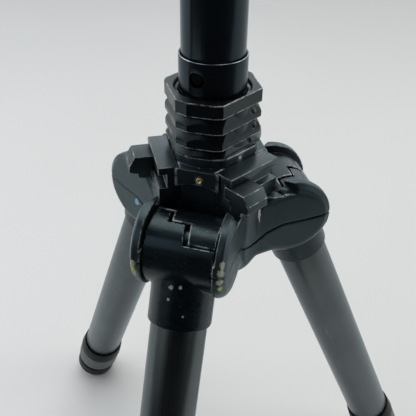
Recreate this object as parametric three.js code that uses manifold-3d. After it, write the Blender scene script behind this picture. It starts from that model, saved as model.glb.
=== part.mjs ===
// Compact twist-lock camera tripod: three folding, telescoping legs on a clamshell hub,
// and a centre column held by a ribbed lock nut. Millimetres, +Z up.
// The origin is on the column axis, on the ground that the three feet stand on.
import * as THREE from "three";
import { mergeVertices } from "three/addons/utils/BufferGeometryUtils.js";
import Module from "manifold-3d";

const wasm = await Module();
wasm.setup();

// ---- driving dimensions -------------------------------------------------------------------
const GAP = 0.3; // running clearance between neighbouring pieces
const LEG_AZIMUTHS = [-105.7, 14.3, 134.3]; // degrees from +X, seen from above
const LEG_NAMES = ["front", "right", "left"];
const SPREAD = THREE.MathUtils.degToRad(23.4); // leg tilt from vertical when it stands
const HINGE_R = 33.4; // leg hinge, distance from the column axis
const HINGE_Z = 214.46; // leg hinge, height above the ground
const LEG_LENGTH = 232; // hinge to the end of the foot, legs collapsed

const COLUMN = { r: 14, wall: 0.7, bottom: 186, top: 288.6 };
const UPPER_TUBE = { r: 13, wall: 1.5, bottom: 270, top: 362 };
const PLATFORM = { r: 20, top: 370 };
const HUB = {
  seat: 250.2, // top face, under the lock nut
  frontFace: 22.5, // plate that faces each leg
  sideFace: 17.2, // flats between the legs
  topR: 19.4, // round top under the lock nut
  armHalf: 20, // half width over the two cheeks of a leg
  armRound: 4.5, // rounding of the cheeks' outer edges
  armTop: 229, // flat top of an arm, between its cheeks
  slotHalf: 14.9, // half width of the slot that the leg turns in
  cheekR: 17.3,
  rimR: 18.7, // raised rim of a cheek
  slotR: 16.4,
  columnBore: 14.4,
  colletBore: 16.1,
  colletStep: 226, // height where the bore widens for the collet
};
const KNUCKLE = { r: 16, core: 12.5, half: 14.6, pinR: 3 };
const LEG_TUBE = { r: 12.32, wall: 1, top: 17, bottom: 192 };
const NUT = { bottom: 250.5, top: 274.8, bore: 16.1 };

const FINE = 32; // sides of a round part
const MEDIUM = 24;
const SMALL = 12;
const ARC_STEP = 10; // degrees
const rad = THREE.MathUtils.degToRad;

// ---- geometry helpers ---------------------------------------------------------------------
function solid(geometry, matrix = new THREE.Matrix4()) {
  const bare = geometry.index ? geometry.toNonIndexed() : geometry.clone();
  for (const name of ["normal", "uv"]) {
    bare.deleteAttribute(name);
  }
  bare.applyMatrix4(matrix);
  const merged = mergeVertices(bare, 1e-4);
  return new wasm.Manifold(
    new wasm.Mesh({
      numProp: 3,
      vertProperties: new Float32Array(merged.attributes.position.array),
      triVerts: new Uint32Array(merged.index.array),
    }),
  );
}

function geometryOf(manifold) {
  const mesh = manifold.simplify(0.005).getMesh();
  const geometry = new THREE.BufferGeometry();
  const points = new Float32Array(mesh.vertProperties);
  geometry.setAttribute("position", new THREE.BufferAttribute(points, 3));
  geometry.setIndex(new THREE.BufferAttribute(new Uint32Array(mesh.triVerts), 1));
  geometry.computeVertexNormals();
  return geometry;
}

function union(parts) {
  return parts.reduce((sum, part) => sum.add(part));
}

function cut(body, tools) {
  return tools.reduce((rest, tool) => rest.subtract(tool), body);
}

function outline(points) {
  return new THREE.Shape(points.map(([x, y]) => new THREE.Vector2(x, y)));
}

// Points on an arc about (cx, cy); angles in degrees from +y towards +x.
function arc(cx, cy, r, from, to, steps) {
  const points = [];
  for (let i = 0; i <= steps; i += 1) {
    const a = rad(from + ((to - from) * i) / steps);
    points.push([cx + r * Math.sin(a), cy + r * Math.cos(a)]);
  }
  return points;
}

// Prism of a plan outline (x, y) between two heights.
function slab(points, z0, z1) {
  const geometry = new THREE.ExtrudeGeometry(outline(points), { depth: z1 - z0, bevelEnabled: false });
  return solid(geometry, new THREE.Matrix4().makeTranslation(0, 0, z0));
}

// Prism of a side outline (x outward, z up) along y, between two y values.
function web(points, y0, y1) {
  const geometry = new THREE.ExtrudeGeometry(outline(points), { depth: y1 - y0, bevelEnabled: false });
  const upright = new THREE.Matrix4().makeRotationX(Math.PI / 2);
  return solid(geometry, upright.premultiply(new THREE.Matrix4().makeTranslation(0, y1, 0)));
}

// The same prism with rounded edges along both of its ends.
function roundedWeb(points, half, round) {
  const geometry = new THREE.ExtrudeGeometry(outline(points), {
    depth: 2 * (half - round),
    bevelThickness: round,
    bevelSize: round,
    bevelOffset: -round,
    bevelSegments: 3,
  });
  const upright = new THREE.Matrix4().makeRotationX(Math.PI / 2);
  return solid(geometry, upright.premultiply(new THREE.Matrix4().makeTranslation(0, half - round, 0)));
}

// Body of revolution about z from a closed (radius, z) outline.
function turned(points, sides) {
  const closed = [...points, points[0]].map(([r, z]) => new THREE.Vector2(r, z));
  const geometry = new THREE.LatheGeometry(closed, sides);
  const upright = new THREE.Matrix4().makeRotationX(Math.PI / 2);
  const body = solid(geometry, upright);
  return body.volume() < 0 ? solid(geometry.scale(-1, 1, 1), upright) : body;
}

function rod(r, z0, z1, sides) {
  return turned([[0, z0], [r, z0], [r, z1], [0, z1]], sides);
}

function tube(rIn, rOut, z0, z1, sides) {
  return turned([[rIn, z0], [rOut, z0], [rOut, z1], [rIn, z1]], sides);
}

// The body turned so that its z axis lies along y.
function alongY(body) {
  return body.rotate([-90, 0, 0]);
}

// The body turned so that its z axis lies along x.
function alongX(body) {
  return body.rotate([0, 90, 0]);
}

function aroundHub(body) {
  return union(LEG_AZIMUTHS.map((azimuth) => body.rotate([0, 0, azimuth])));
}

function betweenLegs(body) {
  return union(LEG_AZIMUTHS.map((azimuth) => body.rotate([0, 0, azimuth + 60])));
}

// ---- materials ----------------------------------------------------------------------------
function finish(color, roughness, metalness) {
  return new THREE.MeshStandardMaterial({ color, roughness, metalness });
}

const MATERIALS = {
  casting: () => finish(0x3b4144, 0.45, 0.5),
  column: () => finish(0x14191d, 0.3, 0.7),
  knuckle: () => finish(0x10161b, 0.28, 0.5),
  legTube: () => finish(0x4a5053, 0.42, 0.6),
  innerTube: () => finish(0x23282b, 0.35, 0.7),
  plastic: () => finish(0x1b1d1f, 0.6, 0.1),
  rubber: () => finish(0x6d6f70, 0.85, 0),
  brass: () => finish(0xc9a44e, 0.35, 1),
  steel: () => finish(0x9a9da0, 0.3, 1),
};

const tripod = new THREE.Group();

function addMesh(parent, name, body, material) {
  const mesh = new THREE.Mesh(geometryOf(body), MATERIALS[material]());
  mesh.name = name;
  parent.add(mesh);
}

// ---- angle selector and its guide, between two legs ------------------------------------------
// Local axes: x outward between two legs, y along the slot, z up.
const GUIDE = { half: 14, plateTop: 246.2, plateUnder: 242.8, ledge: 236.5, foot: 229.2, face: 25.8 };
const SELECTOR = { y0: -14.6, y1: -2.9 };

function guideBody(grow) {
  const inner = HUB.sideFace + GAP - grow;
  const face = GUIDE.face + grow;
  const slotBack = 22.2 + grow;
  const points = [
    [inner, GUIDE.foot - grow],
    [face, GUIDE.foot - grow],
    [face, GUIDE.ledge + grow],
    [slotBack, GUIDE.ledge + grow],
    [slotBack, GUIDE.plateUnder - grow],
    [face, GUIDE.plateUnder - grow],
    [face, GUIDE.plateTop + grow],
    [inner, GUIDE.plateTop + grow],
  ];
  return web(points, -GUIDE.half - grow, GUIDE.half + grow);
}

// Room for the guide in the hub.
function guideSeat() {
  const x0 = HUB.sideFace;
  const x1 = GUIDE.face + 5;
  const z0 = GUIDE.foot - GAP;
  return web([[x0, z0], [x1, z0], [x1, 300], [x0, 300]], -GUIDE.half - GAP, GUIDE.half + GAP);
}

function selectorBody() {
  const points = [
    [22.6, 237.0],
    [26.4, 237.0],
    [26.4, 231.6],
    [29.6, 231.6],
    [32.2, 232.2],
    [32.5, 234.1],
    [36.2, 235.0],
    [35.8, 238.4],
    [33.3, 242.4],
    [22.6, 242.4],
  ];
  const notch = web([[22, 238.2], [23.5, 238.2], [23.5, 241.2], [22, 241.2]], -12.5, -5);
  return web(points, SELECTOR.y0, SELECTOR.y1).subtract(notch);
}

// Bowed leaf that presses the selector's tongue outward in its slot.
function selectorSpring() {
  const bow = 0.35;
  const outer = [[22.55, -12.2], [22.55 + bow, -8.75], [22.55, -5.3]];
  const inner = outer.map(([x, y]) => [x + 0.35, y]).reverse();
  return slab([...outer, ...inner], 238.6, 240.8);
}

// ---- hub ----------------------------------------------------------------------------------
// Local axes of an arm: x outward along the leg, y along the leg hinge, z up.
function armOutline() {
  const under = [[-6, 189.3], [9, 189.3], [12.5, 191.8], [17.5, 195.6], [24, 197.2]];
  const nose = arc(HINGE_R, HINGE_Z, HUB.cheekR, 186, 33, 18);
  return [...under, ...nose, [-6, HUB.armTop]];
}

// Rims of both cheeks as one disc, ended towards the column by two slanting walls.
function cheekRims() {
  const half = [[HUB.rimR, 0], [HUB.rimR, 18.7], [16, 20.2], [0, 20.2]];
  const mirrored = half.slice(1).map(([r, y]) => [r, -y]);
  const disc = alongY(turned([...mirrored.reverse(), ...half], 48)).translate([32.3, 0, 215.6]);
  const inward = [[13.1, 0], [53.9, 40], [-60, 40], [-60, -40], [53.9, -40]];
  return disc.subtract(slab(inward, HUB.armTop, 300));
}

function slotOutline() {
  const back = HINGE_R - LEG_TUBE.r - 2.1;
  const round = arc(HINGE_R, HINGE_Z, HUB.slotR, -90, -28, 6);
  return [[back, 180], [back, HINGE_Z - 9], ...round, [round[6][0], 300], [60, 300], [60, 180]];
}

const WEDGE = slab([[-0.05, 0], [100, -173.3], [100, 173.3]], 100, 400);

function hubBlank() {
  const arm = roundedWeb(armOutline(), HUB.armHalf, HUB.armRound).add(cheekRims()).intersect(WEDGE);
  const plate = slab([[0, -15], [HUB.frontFace, -15], [HUB.frontFace, 15], [0, 15]], 224, GUIDE.plateTop);
  return union([rod(HUB.topR, 224, HUB.seat, FINE), aroundHub(union([arm, plate]))]);
}

function hubBody() {
  const slot = web(slotOutline(), -HUB.slotHalf, HUB.slotHalf);
  const archRadius = 19.3;
  const archDepth = 2.5;
  const arch = alongX(rod(archRadius, HUB.frontFace - archDepth, 60, FINE)).translate([0, 0, 220.1]);
  const openArch = arch.intersect(slab([[0, -15.5], [60, -15.5], [60, 15.5], [0, 15.5]], 222, 300));
  const pin = alongY(rod(KNUCKLE.pinR + GAP, -18.4, 18.4, SMALL)).translate([HINGE_R, 0, HINGE_Z]);
  const dot = alongX(rod(1.6, 18, 30, SMALL)).translate([0, 1.2, 242]);
  const perLeg = aroundHub(union([slot, openArch, pin, dot]));
  const bore = union([rod(HUB.columnBore, 100, 300, FINE), rod(HUB.colletBore, HUB.colletStep, 300, FINE)]);
  const screw = union([rod(1.9, 180, 221, SMALL), rod(3.4, 180, 196.2, SMALL)]).translate([19, 0, 0]);
  return cut(hubBlank(), [perLeg, bore, betweenLegs(screw), betweenLegs(guideSeat())]);
}

// Everything below the parting line of the two hub shells, raised by a small offset.
function belowSeam(offset) {
  const inner = [[0, 197], [11, 200], [13, 203.2], [15.2, 206.8], [20.4, 210.6]];
  const line = [...inner, [28, 213.8], [39.7, 215], [60, 218]];
  const points = [[0, 150], ...line.map(([x, z]) => [x, z + offset]), [60, 150]];
  return aroundHub(web(points, -90, 90).intersect(WEDGE));
}

function buildHub() {
  const body = hubBody();
  addMesh(tripod, "hub_upper_shell", body.subtract(belowSeam(GAP / 2)), "casting");
  addMesh(tripod, "hub_lower_shell", body.intersect(belowSeam(-GAP / 2)), "casting");
  LEG_AZIMUTHS.forEach((azimuth, i) => {
    const side = new THREE.Group();
    side.rotation.z = rad(azimuth + 60);
    tripod.add(side);
    const leg = LEG_NAMES[i];
    addMesh(side, `angle_guide_${leg}`, guideBody(0), "casting");
    addMesh(side, `angle_selector_${leg}`, selectorBody(), "casting");
    addMesh(side, `selector_spring_${leg}`, selectorSpring(), "steel");
    const screw = union([rod(1.6, 195, 220.5, SMALL), rod(3, 193.2, 195.9, SMALL)]);
    addMesh(side, `hub_screw_${leg}`, screw.translate([19, 0, 0]), "steel");
    const face = new THREE.Group();
    face.rotation.z = rad(azimuth);
    tripod.add(face);
    const ring = alongX(tube(0.5, 1.3, 19, 22.7, SMALL)).translate([0, 1.2, 242]);
    addMesh(face, `hub_pin_${leg}`, ring, "brass");
  });
}

// ---- legs ---------------------------------------------------------------------------------
// The stop sleeve and the knuckle share one barrel about the hinge. Their edges meet in three
// steps: [y from, y to, angle], the angle measured from straight up towards the leg's outside.
const STEPS = [
  [-KNUCKLE.half, -6.3, -17],
  [-6.3, 3, 10.5],
  [3, KNUCKLE.half, 44],
];
const STEP_GAP = 0.8; // clearance between the two edges, along the barrel's face
const STEP_SIDE_GAP = 2; // the same at the sides of the steps
const SLEEVE_DISC = 2; // thickness of the sleeve's end disc
const BARREL_SIDES = 360 / ARC_STEP;
const SLEEVE_BACK = -95;
const KNUCKLE_BACK = 235;

// Its corners fall on whole multiples of ARC_STEP, so neighbouring pieces share their facets.
function barrelPiece(rIn, rOut, from, to, y0, y1) {
  const angles = [from];
  for (let a = (Math.floor(from / ARC_STEP) + 1) * ARC_STEP; a < to - 1; a += ARC_STEP) {
    angles.push(a);
  }
  angles.push(to);
  const outer = angles.map((a) => [rOut * Math.sin(rad(a)), rOut * Math.cos(rad(a))]);
  const inner = angles.map((a) => [rIn * Math.sin(rad(a)), rIn * Math.cos(rad(a))]);
  return web([...outer, ...inner.reverse()], y0, y1);
}

function sleeveBody() {
  const rIn = KNUCKLE.core + GAP;
  const shell = STEPS.map(([y0, y1, angle]) => barrelPiece(rIn, KNUCKLE.r, SLEEVE_BACK, angle, y0, y1));
  const y0 = -KNUCKLE.half;
  const disc = alongY(tube(KNUCKLE.pinR + GAP, KNUCKLE.core, y0, y0 + SLEEVE_DISC, BARREL_SIDES));
  const joint = barrelPiece(KNUCKLE.core - 0.5, rIn + 0.5, SLEEVE_BACK, STEPS[0][2], y0, y0 + SLEEVE_DISC);
  return union([...shell, disc, joint]);
}

function knuckleBody() {
  const coreStart = -KNUCKLE.half + SLEEVE_DISC + GAP;
  const core = alongY(rod(KNUCKLE.core, coreStart, KNUCKLE.half, BARREL_SIDES));
  const gapAngle = THREE.MathUtils.radToDeg(STEP_GAP / KNUCKLE.r);
  const shell = STEPS.map(([y0, y1, angle], i) => {
    const from = i === 0 ? y0 : y0 - STEP_SIDE_GAP;
    const to = i === STEPS.length - 1 ? y1 : y1 - STEP_SIDE_GAP;
    return barrelPiece(KNUCKLE.core - 0.5, KNUCKLE.r, angle + gapAngle, KNUCKLE_BACK, from, to);
  });
  const collar = rod(13.84, 2, 31.6, FINE).rotate([0, 180 - THREE.MathUtils.radToDeg(SPREAD), 0]);
  const socket = rod(LEG_TUBE.r + GAP, LEG_TUBE.top - GAP, 60, FINE);
  const body = union([core, ...shell, collar]);
  const tools = [
    socket.rotate([0, 180 - THREE.MathUtils.radToDeg(SPREAD), 0]),
    alongY(rod(KNUCKLE.pinR + GAP, -20, 20, SMALL)),
    alongY(rod(KNUCKLE.core + GAP, -KNUCKLE.half - 1, coreStart, BARREL_SIDES)),
  ];
  return cut(body, tools);
}

// Dome of the foot, as wide as the foot, whose lowest side touches the ground at z = 0 when
// the leg stands at its normal spread.
const FOOT = { r: 13.3 };
FOOT.domeZ = (LEG_LENGTH - HINGE_Z) / (1 - Math.cos(SPREAD));
FOOT.domeR = LEG_LENGTH - FOOT.domeZ;

function footDome() {
  const edge = Math.asin(FOOT.r / FOOT.domeR);
  const angles = [edge, (edge + SPREAD) / 2, SPREAD, SPREAD / 2];
  const rim = angles.map((a) => [FOOT.domeR * Math.sin(a), FOOT.domeZ + FOOT.domeR * Math.cos(a)]);
  return [...rim, [0, LEG_LENGTH]];
}

function buildLeg(azimuth, leg) {
  const arm = new THREE.Group();
  arm.rotation.z = rad(azimuth);
  tripod.add(arm);
  const hinge = new THREE.Group();
  hinge.position.set(HINGE_R, 0, HINGE_Z);
  arm.add(hinge);
  addMesh(hinge, `hinge_pin_${leg}`, alongY(rod(KNUCKLE.pinR, -18, 18, SMALL)), "steel");
  addMesh(hinge, `stop_sleeve_${leg}`, sleeveBody(), "knuckle");
  addMesh(hinge, `leg_knuckle_${leg}`, knuckleBody(), "knuckle");

  // Tube pieces: z runs down the leg from the hinge.
  const down = new THREE.Group();
  down.rotation.y = Math.PI - SPREAD;
  hinge.add(down);
  const outer = LEG_TUBE.r;
  const second = { r: outer - LEG_TUBE.wall - GAP, top: 22, bottom: 197.5 };
  const third = { r: second.r - LEG_TUBE.wall - GAP, top: 26, bottom: 224 };
  const outerTube = tube(outer - LEG_TUBE.wall, outer, LEG_TUBE.top, LEG_TUBE.bottom, FINE);
  addMesh(down, `leg_tube_${leg}`, outerTube, "legTube");
  const collarEnd = [[outer + GAP, 187], [13.0, 192.4], [14.2, 200.3], [second.r + GAP, 200.3]];
  const endRing = turned([...collarEnd, [second.r + GAP, 192.3], [outer + GAP, 192.3]], FINE);
  addMesh(down, `leg_end_ring_${leg}`, endRing, "plastic");
  const secondTube = tube(second.r - LEG_TUBE.wall, second.r, second.top, second.bottom, MEDIUM);
  addMesh(down, `leg_section_2_${leg}`, secondTube, "innerTube");
  const thirdTube = tube(third.r - LEG_TUBE.wall, third.r, third.top, third.bottom, MEDIUM);
  addMesh(down, `leg_section_3_${leg}`, thirdTube, "innerTube");
  const gripFace = [[14, 200.6], [14, 214.4], [12.7, 214.6], [12.7, 218.4]];
  const grip = turned([[third.r + GAP, 200.6], ...gripFace, [third.r + GAP, 218.4]], FINE);
  addMesh(down, `foot_grip_${leg}`, grip, "rubber");
  const footInside = [[0, 224.4], [third.r + GAP, 224.4], [third.r + GAP, 218.7], [FOOT.r, 218.7]];
  const foot = turned([...footInside, ...footDome()], FINE);
  addMesh(down, `rubber_foot_${leg}`, foot, "rubber");
}

// ---- centre column --------------------------------------------------------------------------
const SET_SCREW = { azimuth: -117.6, z: 281.9, r: 2.7 };

function screwHole(r, from, to) {
  return alongX(rod(r, from, to, SMALL)).rotate([0, 0, SET_SCREW.azimuth]).translate([0, 0, SET_SCREW.z]);
}

function nutOutline() {
  const corners = [
    [-135, 20.6], [-119, 20.8], [-88, 20.9], [-78, 20.9],
    [-8, 20.4], [14, 18.9], [37, 20.8], [46, 20.8],
    [104, 20.6], [124, 19.4], [162, 20.6], [170, 20.4],
  ];
  return corners.map(([azimuth, r]) => [r * Math.cos(rad(azimuth)), r * Math.sin(rad(azimuth))]);
}

// A prism whose corners are turned down into four tapered tiers.
function lockNut() {
  const waist = 18;
  const tiers = [[254.9, 257.4, 262.1], [262.1, 264.6, 268.9]];
  const side = [[0, NUT.bottom], [21.2, NUT.bottom], [waist, 254.9]];
  for (const [foot, shoulder, neck] of tiers) {
    side.push([21.6, foot], [21.1, shoulder], [waist, neck]);
  }
  side.push([21.6, 268.9], [21.6, NUT.top], [0, NUT.top]);
  const body = slab(nutOutline(), NUT.bottom, NUT.top).intersect(turned(side, FINE));
  return body.subtract(rod(NUT.bore, NUT.bottom - 1, NUT.top + 1, FINE));
}

function buildColumn() {
  addMesh(tripod, "column_lock_nut", lockNut(), "plastic");
  const slit = slab([[0, -0.6], [20, -0.6], [20, 0.6], [0, 0.6]], 236, 280).rotate([0, 0, 74.3]);
  const collet = tube(HUB.columnBore - 0.1, HUB.colletBore - GAP, HUB.colletStep + GAP, 273.3, FINE);
  addMesh(tripod, "column_collet", collet.subtract(slit), "plastic");
  const lower = tube(COLUMN.r - COLUMN.wall, COLUMN.r, COLUMN.bottom, COLUMN.top, FINE);
  addMesh(tripod, "column_lower_tube", lower.subtract(screwHole(SET_SCREW.r, 10, 20)), "column");
  const upper = tube(UPPER_TUBE.r - UPPER_TUBE.wall, UPPER_TUBE.r, UPPER_TUBE.bottom, UPPER_TUBE.top, FINE);
  addMesh(tripod, "column_upper_tube", upper.subtract(screwHole(SET_SCREW.r, 9, 20)), "column");
  addMesh(tripod, "column_set_screw", screwHole(SET_SCREW.r - GAP, 11, 13.6), "steel");
  const capInner = COLUMN.r - COLUMN.wall - GAP;
  const capTop = COLUMN.bottom - GAP;
  const capRim = [[0, capTop - 3], [13, capTop - 3], [COLUMN.r, capTop - 2], [COLUMN.r, capTop]];
  const capOutline = [...capRim, [capInner, capTop], [capInner, capTop + 8], [0, capTop + 8]];
  addMesh(tripod, "column_end_cap", turned(capOutline, FINE), "plastic");
}

function buildPlatform() {
  const neck = UPPER_TUBE.r - UPPER_TUBE.wall - GAP;
  const under = UPPER_TUBE.top + GAP;
  const rim = [[15, under], [PLATFORM.r, under + 3], [PLATFORM.r, PLATFORM.top], [5.1, PLATFORM.top]];
  const disc = turned([[5.1, 350], [neck, 350], [neck, under], ...rim], FINE);
  addMesh(tripod, "head_platform", disc, "casting");
  const pad = tube(5.1, PLATFORM.r - 0.8, PLATFORM.top + GAP, PLATFORM.top + 1.8, FINE);
  addMesh(tripod, "platform_pad", pad, "rubber");
  const stud = [[0, 346], [7, 346], [7, 349.7], [4.76, 349.7], [4.76, 380.4], [3.8, 381.4], [0, 381.4]];
  addMesh(tripod, "camera_stud", turned(stud, SMALL), "steel");
}

buildHub();
LEG_AZIMUTHS.forEach((azimuth, i) => buildLeg(azimuth, LEG_NAMES[i]));
buildColumn();
buildPlatform();

export default tripod;
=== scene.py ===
import math

import bmesh
import bpy
import numpy as np
from mathutils import Matrix, Vector


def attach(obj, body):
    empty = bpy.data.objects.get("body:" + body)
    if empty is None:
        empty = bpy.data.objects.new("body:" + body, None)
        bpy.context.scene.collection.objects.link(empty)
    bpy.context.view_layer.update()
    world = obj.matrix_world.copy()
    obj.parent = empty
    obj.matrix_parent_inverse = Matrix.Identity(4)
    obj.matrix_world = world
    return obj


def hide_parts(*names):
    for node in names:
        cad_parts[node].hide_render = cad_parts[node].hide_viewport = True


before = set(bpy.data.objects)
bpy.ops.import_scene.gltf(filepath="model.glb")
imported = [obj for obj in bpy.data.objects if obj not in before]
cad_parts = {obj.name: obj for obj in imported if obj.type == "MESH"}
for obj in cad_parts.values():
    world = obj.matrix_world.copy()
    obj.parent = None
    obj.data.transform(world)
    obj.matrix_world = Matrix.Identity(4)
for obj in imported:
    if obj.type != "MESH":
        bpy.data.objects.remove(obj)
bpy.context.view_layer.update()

MM = 0.001
LEGS = {"front": -105.7, "right": 14.3, "left": 134.3}
TILT = math.radians(23.4)
HINGE_R, HINGE_Z = 33.4, 214.46
BARREL_R, BARREL_HALF, CORE_R, COLLAR_R = 16.0, 14.6, 12.5, 13.84
END_DISC_R = CORE_R + 0.8  # the sleeve's end wall
PIN_HOLE_R = 3.3  # clearance round a hinge pin


# ---- distance fields ------------------------------------------------------------------------
def smin(a, b, k):
    """The smaller of two fields, blended where they differ by less than k."""
    h = np.maximum(k - np.abs(a - b), 0) / k
    return np.minimum(a, b) - h * h * k * 0.25


def smax(a, b, k):
    return -smin(-a, -b, k)


def local(x, y, azimuth):
    """The point (x, y) in a frame turned to the azimuth."""
    c, s = math.cos(math.radians(azimuth)), math.sin(math.radians(azimuth))
    return x * c + y * s, -x * s + y * c


def nearest(x, y, azimuths):
    """Coordinates in the frame of whichever azimuth the point lies closest to."""
    us, vs = zip(*(local(x, y, a) for a in azimuths))
    us, vs = np.stack(us), np.stack(vs)
    pick = us.argmax(0)[None]
    return np.take_along_axis(us, pick, 0)[0], np.take_along_axis(vs, pick, 0)[0]


def polygon(x, y, points):
    """Signed distance to a closed outline."""
    best = np.full(x.shape, 1e9)
    inside = np.zeros(x.shape, bool)
    for (ax, ay), (bx, by) in zip(points, points[1:] + points[:1]):
        ex, ey = bx - ax, by - ay
        wx, wy = x - ax, y - ay
        t = np.clip((wx * ex + wy * ey) / (ex * ex + ey * ey), 0, 1)
        best = np.minimum(best, (wx - ex * t) ** 2 + (wy - ey * t) ** 2)
        if ay != by:
            crosses = (y >= min(ay, by)) & (y < max(ay, by))
            inside ^= crosses & (x < ax + (y - ay) * ex / ey)
    return np.sqrt(best) * np.where(inside, -1, 1)


def both(a, b, r):
    """Intersection of two fields whose shared edge is rounded to radius r."""
    a, b = a + r, b + r
    outside = np.hypot(np.maximum(a, 0), np.maximum(b, 0))
    return outside + np.minimum(np.maximum(a, b), 0) - r


def span(v, low, high):
    """Signed distance to the slab between two levels."""
    return np.abs(v - (low + high) / 2) - (high - low) / 2


def rod(u, v, r, w, low, high, edge=0.3):
    """A cylinder of radius r along w, its rims rounded."""
    return both(np.hypot(u, v) - r, span(w, low, high), edge)


def arc(cx, cy, r, start, end, steps):
    """Points on an arc; angles from the second axis towards the first, in degrees."""
    angles = np.radians(np.linspace(start, end, steps + 1))
    return [(cx + r * math.sin(a), cy + r * math.cos(a)) for a in angles]


# ---- fields to meshes -----------------------------------------------------------------------
BLOCK = 8  # grid points along one side of a block
CHUNK = 1500  # blocks worked out at once
FULL_WEAR = 0.3  # how convex a spot is, of 1, when it counts as a full edge


def sample(field, low, step, blocks):
    """Signs of the field on a grid of points, worked out only near the surface."""
    size = BLOCK * step
    centres = [low[i] + (np.arange(blocks[i]) + 0.5) * size - step / 2 for i in range(3)]
    cx, cy, cz = np.meshgrid(*centres, indexing="ij")
    coarse = field(cx.ravel(), cy.ravel(), cz.ravel()).reshape(blocks)
    values = np.repeat(np.repeat(np.repeat(coarse, BLOCK, 0), BLOCK, 1), BLOCK, 2).astype(np.float32)
    near = np.argwhere(np.abs(coarse) < 10 * step)
    offsets = np.stack(np.meshgrid(*[np.arange(BLOCK)] * 3, indexing="ij"), -1).reshape(-1, 3)
    for chunk in np.array_split(near, max(1, len(near) // CHUNK)):
        index = (chunk[:, None] * BLOCK + offsets[None]).reshape(-1, 3)
        points = np.array(low) + index * step
        values[tuple(index.T)] = field(*points.T)
    return values


def gradient(field, p, h):
    """Slope of the field at each point, from four samples."""
    g = np.zeros_like(p)
    for signs in ((1, -1, -1), (-1, -1, 1), (-1, 1, -1), (1, 1, 1)):
        direction = np.array(signs, float)
        g += direction * field(*(p + h * direction).T)[:, None]
    return g / (4 * h)


def surface(field, low, high, step):
    """Vertices, quads and normals of the zero surface, by surface nets."""
    low = np.array(low, float) - 2 * step
    blocks = [int(math.ceil((high[i] + 2 * step - low[i]) / (BLOCK * step))) for i in range(3)]
    values = sample(field, low, step, blocks)
    solid = values < 0
    cells = np.zeros(np.array(solid.shape) - 1, np.int8)
    corners = [(i, j, k) for i in (0, 1) for j in (0, 1) for k in (0, 1)]
    nx, ny, nz = cells.shape
    for i, j, k in corners:
        cells += solid[i : i + nx, j : j + ny, k : k + nz]
    # Each cell that the surface passes through gets a vertex, at the mean of its edges' crossings.
    active = np.argwhere((cells > 0) & (cells < 8))
    number = np.full(cells.shape, -1, np.int64)
    number[tuple(active.T)] = np.arange(len(active))
    total, count = np.zeros((len(active), 3)), np.zeros(len(active))
    for a in corners:
        for axis in range(3):
            if a[axis]:
                continue
            b = list(a)
            b[axis] = 1
            va = values[tuple((active + a).T)].astype(float)
            vb = values[tuple((active + b).T)].astype(float)
            crossed = (va < 0) != (vb < 0)
            t = np.where(crossed, va / np.where(crossed, va - vb, 1), 0)
            point = np.array(a, float)[None] + np.zeros((len(active), 3))
            point[:, axis] += t
            total += point * crossed[:, None]
            count += crossed
    p = low + (active + total / count[:, None]) * step
    # Each grid edge that the surface crosses gets a quad between the four cells round it.
    quads = []
    for axis in range(3):
        u, v = (axis + 1) % 3, (axis + 2) % 3
        first = [slice(None)] * 3
        second = [slice(None)] * 3
        first[axis], second[axis] = slice(0, -1), slice(1, None)
        edges = np.argwhere(solid[tuple(first)] != solid[tuple(second)])
        edges = edges[(edges[:, u] > 0) & (edges[:, v] > 0)]
        down_u, down_v = np.zeros(3, int), np.zeros(3, int)
        down_u[u], down_v[v] = 1, 1
        ring = [edges, edges - down_u, edges - down_u - down_v, edges - down_v]
        quad = np.stack([number[tuple(r.T)] for r in ring], 1)
        flip = ~solid[tuple(edges.T)]
        quad[flip] = quad[flip][:, ::-1]
        quads.append(quad)
    quads = np.concatenate(quads)
    for _ in range(3):
        p = relax(p, quads)
        p = settle(field, p, step)
    n = gradient(field, p, 0.12 * step)
    n /= np.maximum(np.linalg.norm(n, axis=1), 1e-9)[:, None]
    return p, quads, n


def relax(p, quads):
    """Each vertex moved half-way to the mean of its neighbours."""
    total, count = np.zeros_like(p), np.zeros(len(p))
    for i in range(4):
        for j in (1, 3):
            np.add.at(total, quads[:, i], p[quads[:, (i + j) % 4]])
            np.add.at(count, quads[:, i], 1)
    return p + 0.5 * (total / count[:, None] - p)


def settle(field, p, step):
    """Each vertex moved back onto the field's zero surface."""
    for _ in range(2):
        g = gradient(field, p, 0.1 * step)
        length = np.maximum((g * g).sum(1), 0.25)
        move = -field(*p.T)[:, None] * g / length[:, None]
        reach = np.linalg.norm(move, axis=1)[:, None]
        p = p + move * np.minimum(1, 0.8 * step / np.maximum(reach, 1e-9))
    return p


def attribute(mesh, name, values):
    layer = mesh.attributes.new(name, "FLOAT", "POINT")
    layer.data.foreach_set("value", np.asarray(values, np.float32))


def field_mesh(name, field, low, high, step, depth=0.8, shape=None):
    """Mesh of a field, with how convex (edge) and how hollow (hollow) it is stored per vertex.

    A whole shape given besides the field keeps the joint between its halves from counting as worn.
    """
    p, quads, n = surface(field, low, high, step)
    mesh = bpy.data.meshes.new(name)
    mesh.from_pydata((p * MM).tolist(), [], quads.tolist())
    mesh.polygons.foreach_set("use_smooth", np.ones(len(mesh.polygons), bool))
    shape = shape or field
    # On a flat face the field falls by the whole depth, and at a crisp edge by less.
    edge = (1 + shape(*(p - n * depth).T) / depth) / FULL_WEAR
    hollow = 1 - shape(*(p + n * depth * 1.5).T) / (depth * 1.5)
    attribute(mesh, "edge", np.clip(edge, 0, 1))
    attribute(mesh, "hollow", np.clip(hollow, 0, 1))
    mesh.normals_split_custom_set_from_vertices(n.tolist())
    return mesh


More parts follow.
